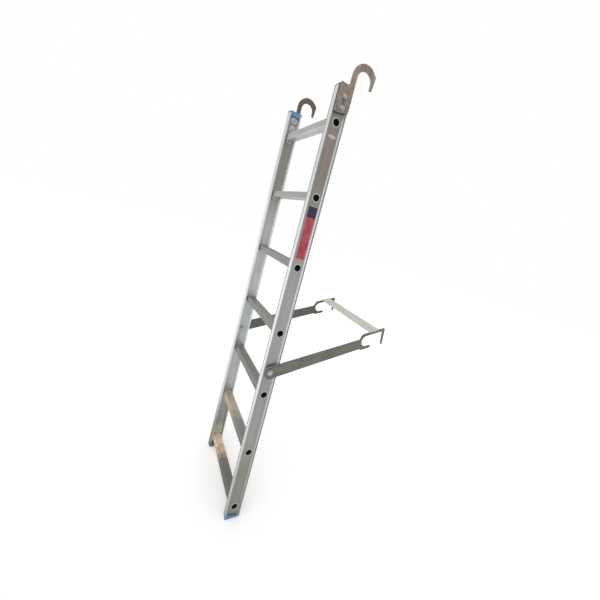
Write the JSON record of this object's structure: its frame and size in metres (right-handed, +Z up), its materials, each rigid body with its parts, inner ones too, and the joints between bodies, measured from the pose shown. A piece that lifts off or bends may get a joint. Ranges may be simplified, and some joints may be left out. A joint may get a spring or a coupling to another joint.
{
  "type": "hook ladder",
  "caption": "Aluminium hook-on ladder: steel hooks hang it on a scaffold tube, and a folding stand-off frame with open jaws catches another tube lower down.",
  "frame": {"origin": "axis of the scaffold tube in the hooks, midway between the stiles", "axes": "+X along that tube to the climber's right, +Y to the rear where the scaffold is, +Z up along the stiles"},
  "size_m": [0.4842, 0.6039, 1.9642],
  "materials": {
    "stile_aluminium": "mill-finish extrusion, satin along its length",
    "rung_aluminium": "mill-finish grooved extrusion",
    "plate_steel": "zinc-plated plate, dull",
    "zinc_fasteners": "zinc-plated",
    "blue_plastic": "moulded, satin",
    "label_vinyl": "plain printed film"
  },
  "bodies": {
    "ladder": {"foot_left": "blue_plastic", "foot_right": "blue_plastic", "hook_bolts_left": "zinc_fasteners", "hook_bolts_right": "zinc_fasteners", "hook_left": "plate_steel", "hook_nuts_left": "zinc_fasteners", "hook_nuts_right": "zinc_fasteners", "hook_right": "plate_steel", "hook_washers_left": "zinc_fasteners", "hook_washers_right": "zinc_fasteners", "label": "label_vinyl", "pivot_bolt_left": "zinc_fasteners", "pivot_bolt_right": "zinc_fasteners", "pivot_bush_left": "zinc_fasteners", "pivot_bush_right": "zinc_fasteners", "pivot_lock_nut_left": "zinc_fasteners", "pivot_lock_nut_right": "zinc_fasteners", "pivot_washers_left": "zinc_fasteners", "pivot_washers_right": "zinc_fasteners", "rung_1": "rung_aluminium", "rung_2": "rung_aluminium", "rung_3": "rung_aluminium", "rung_4": "rung_aluminium", "rung_5": "rung_aluminium", "rung_6": "rung_aluminium", "rung_7": "rung_aluminium", "stile_left": "stile_aluminium", "stile_right": "stile_aluminium", "top_cap_left": "blue_plastic", "top_cap_right": "blue_plastic"},
    "standoff": {"standoff_arm_left": "plate_steel", "standoff_arm_right": "plate_steel", "standoff_crossbar": "plate_steel"}
  },
  "joints": [
    {"name": "standoff_fold", "type": "hinge", "parent": "ladder", "child": "standoff", "pos_m": [0, -0.07, -1.176], "axis": [1, 0, 0], "range_deg": [-107, 60]}
  ]
}
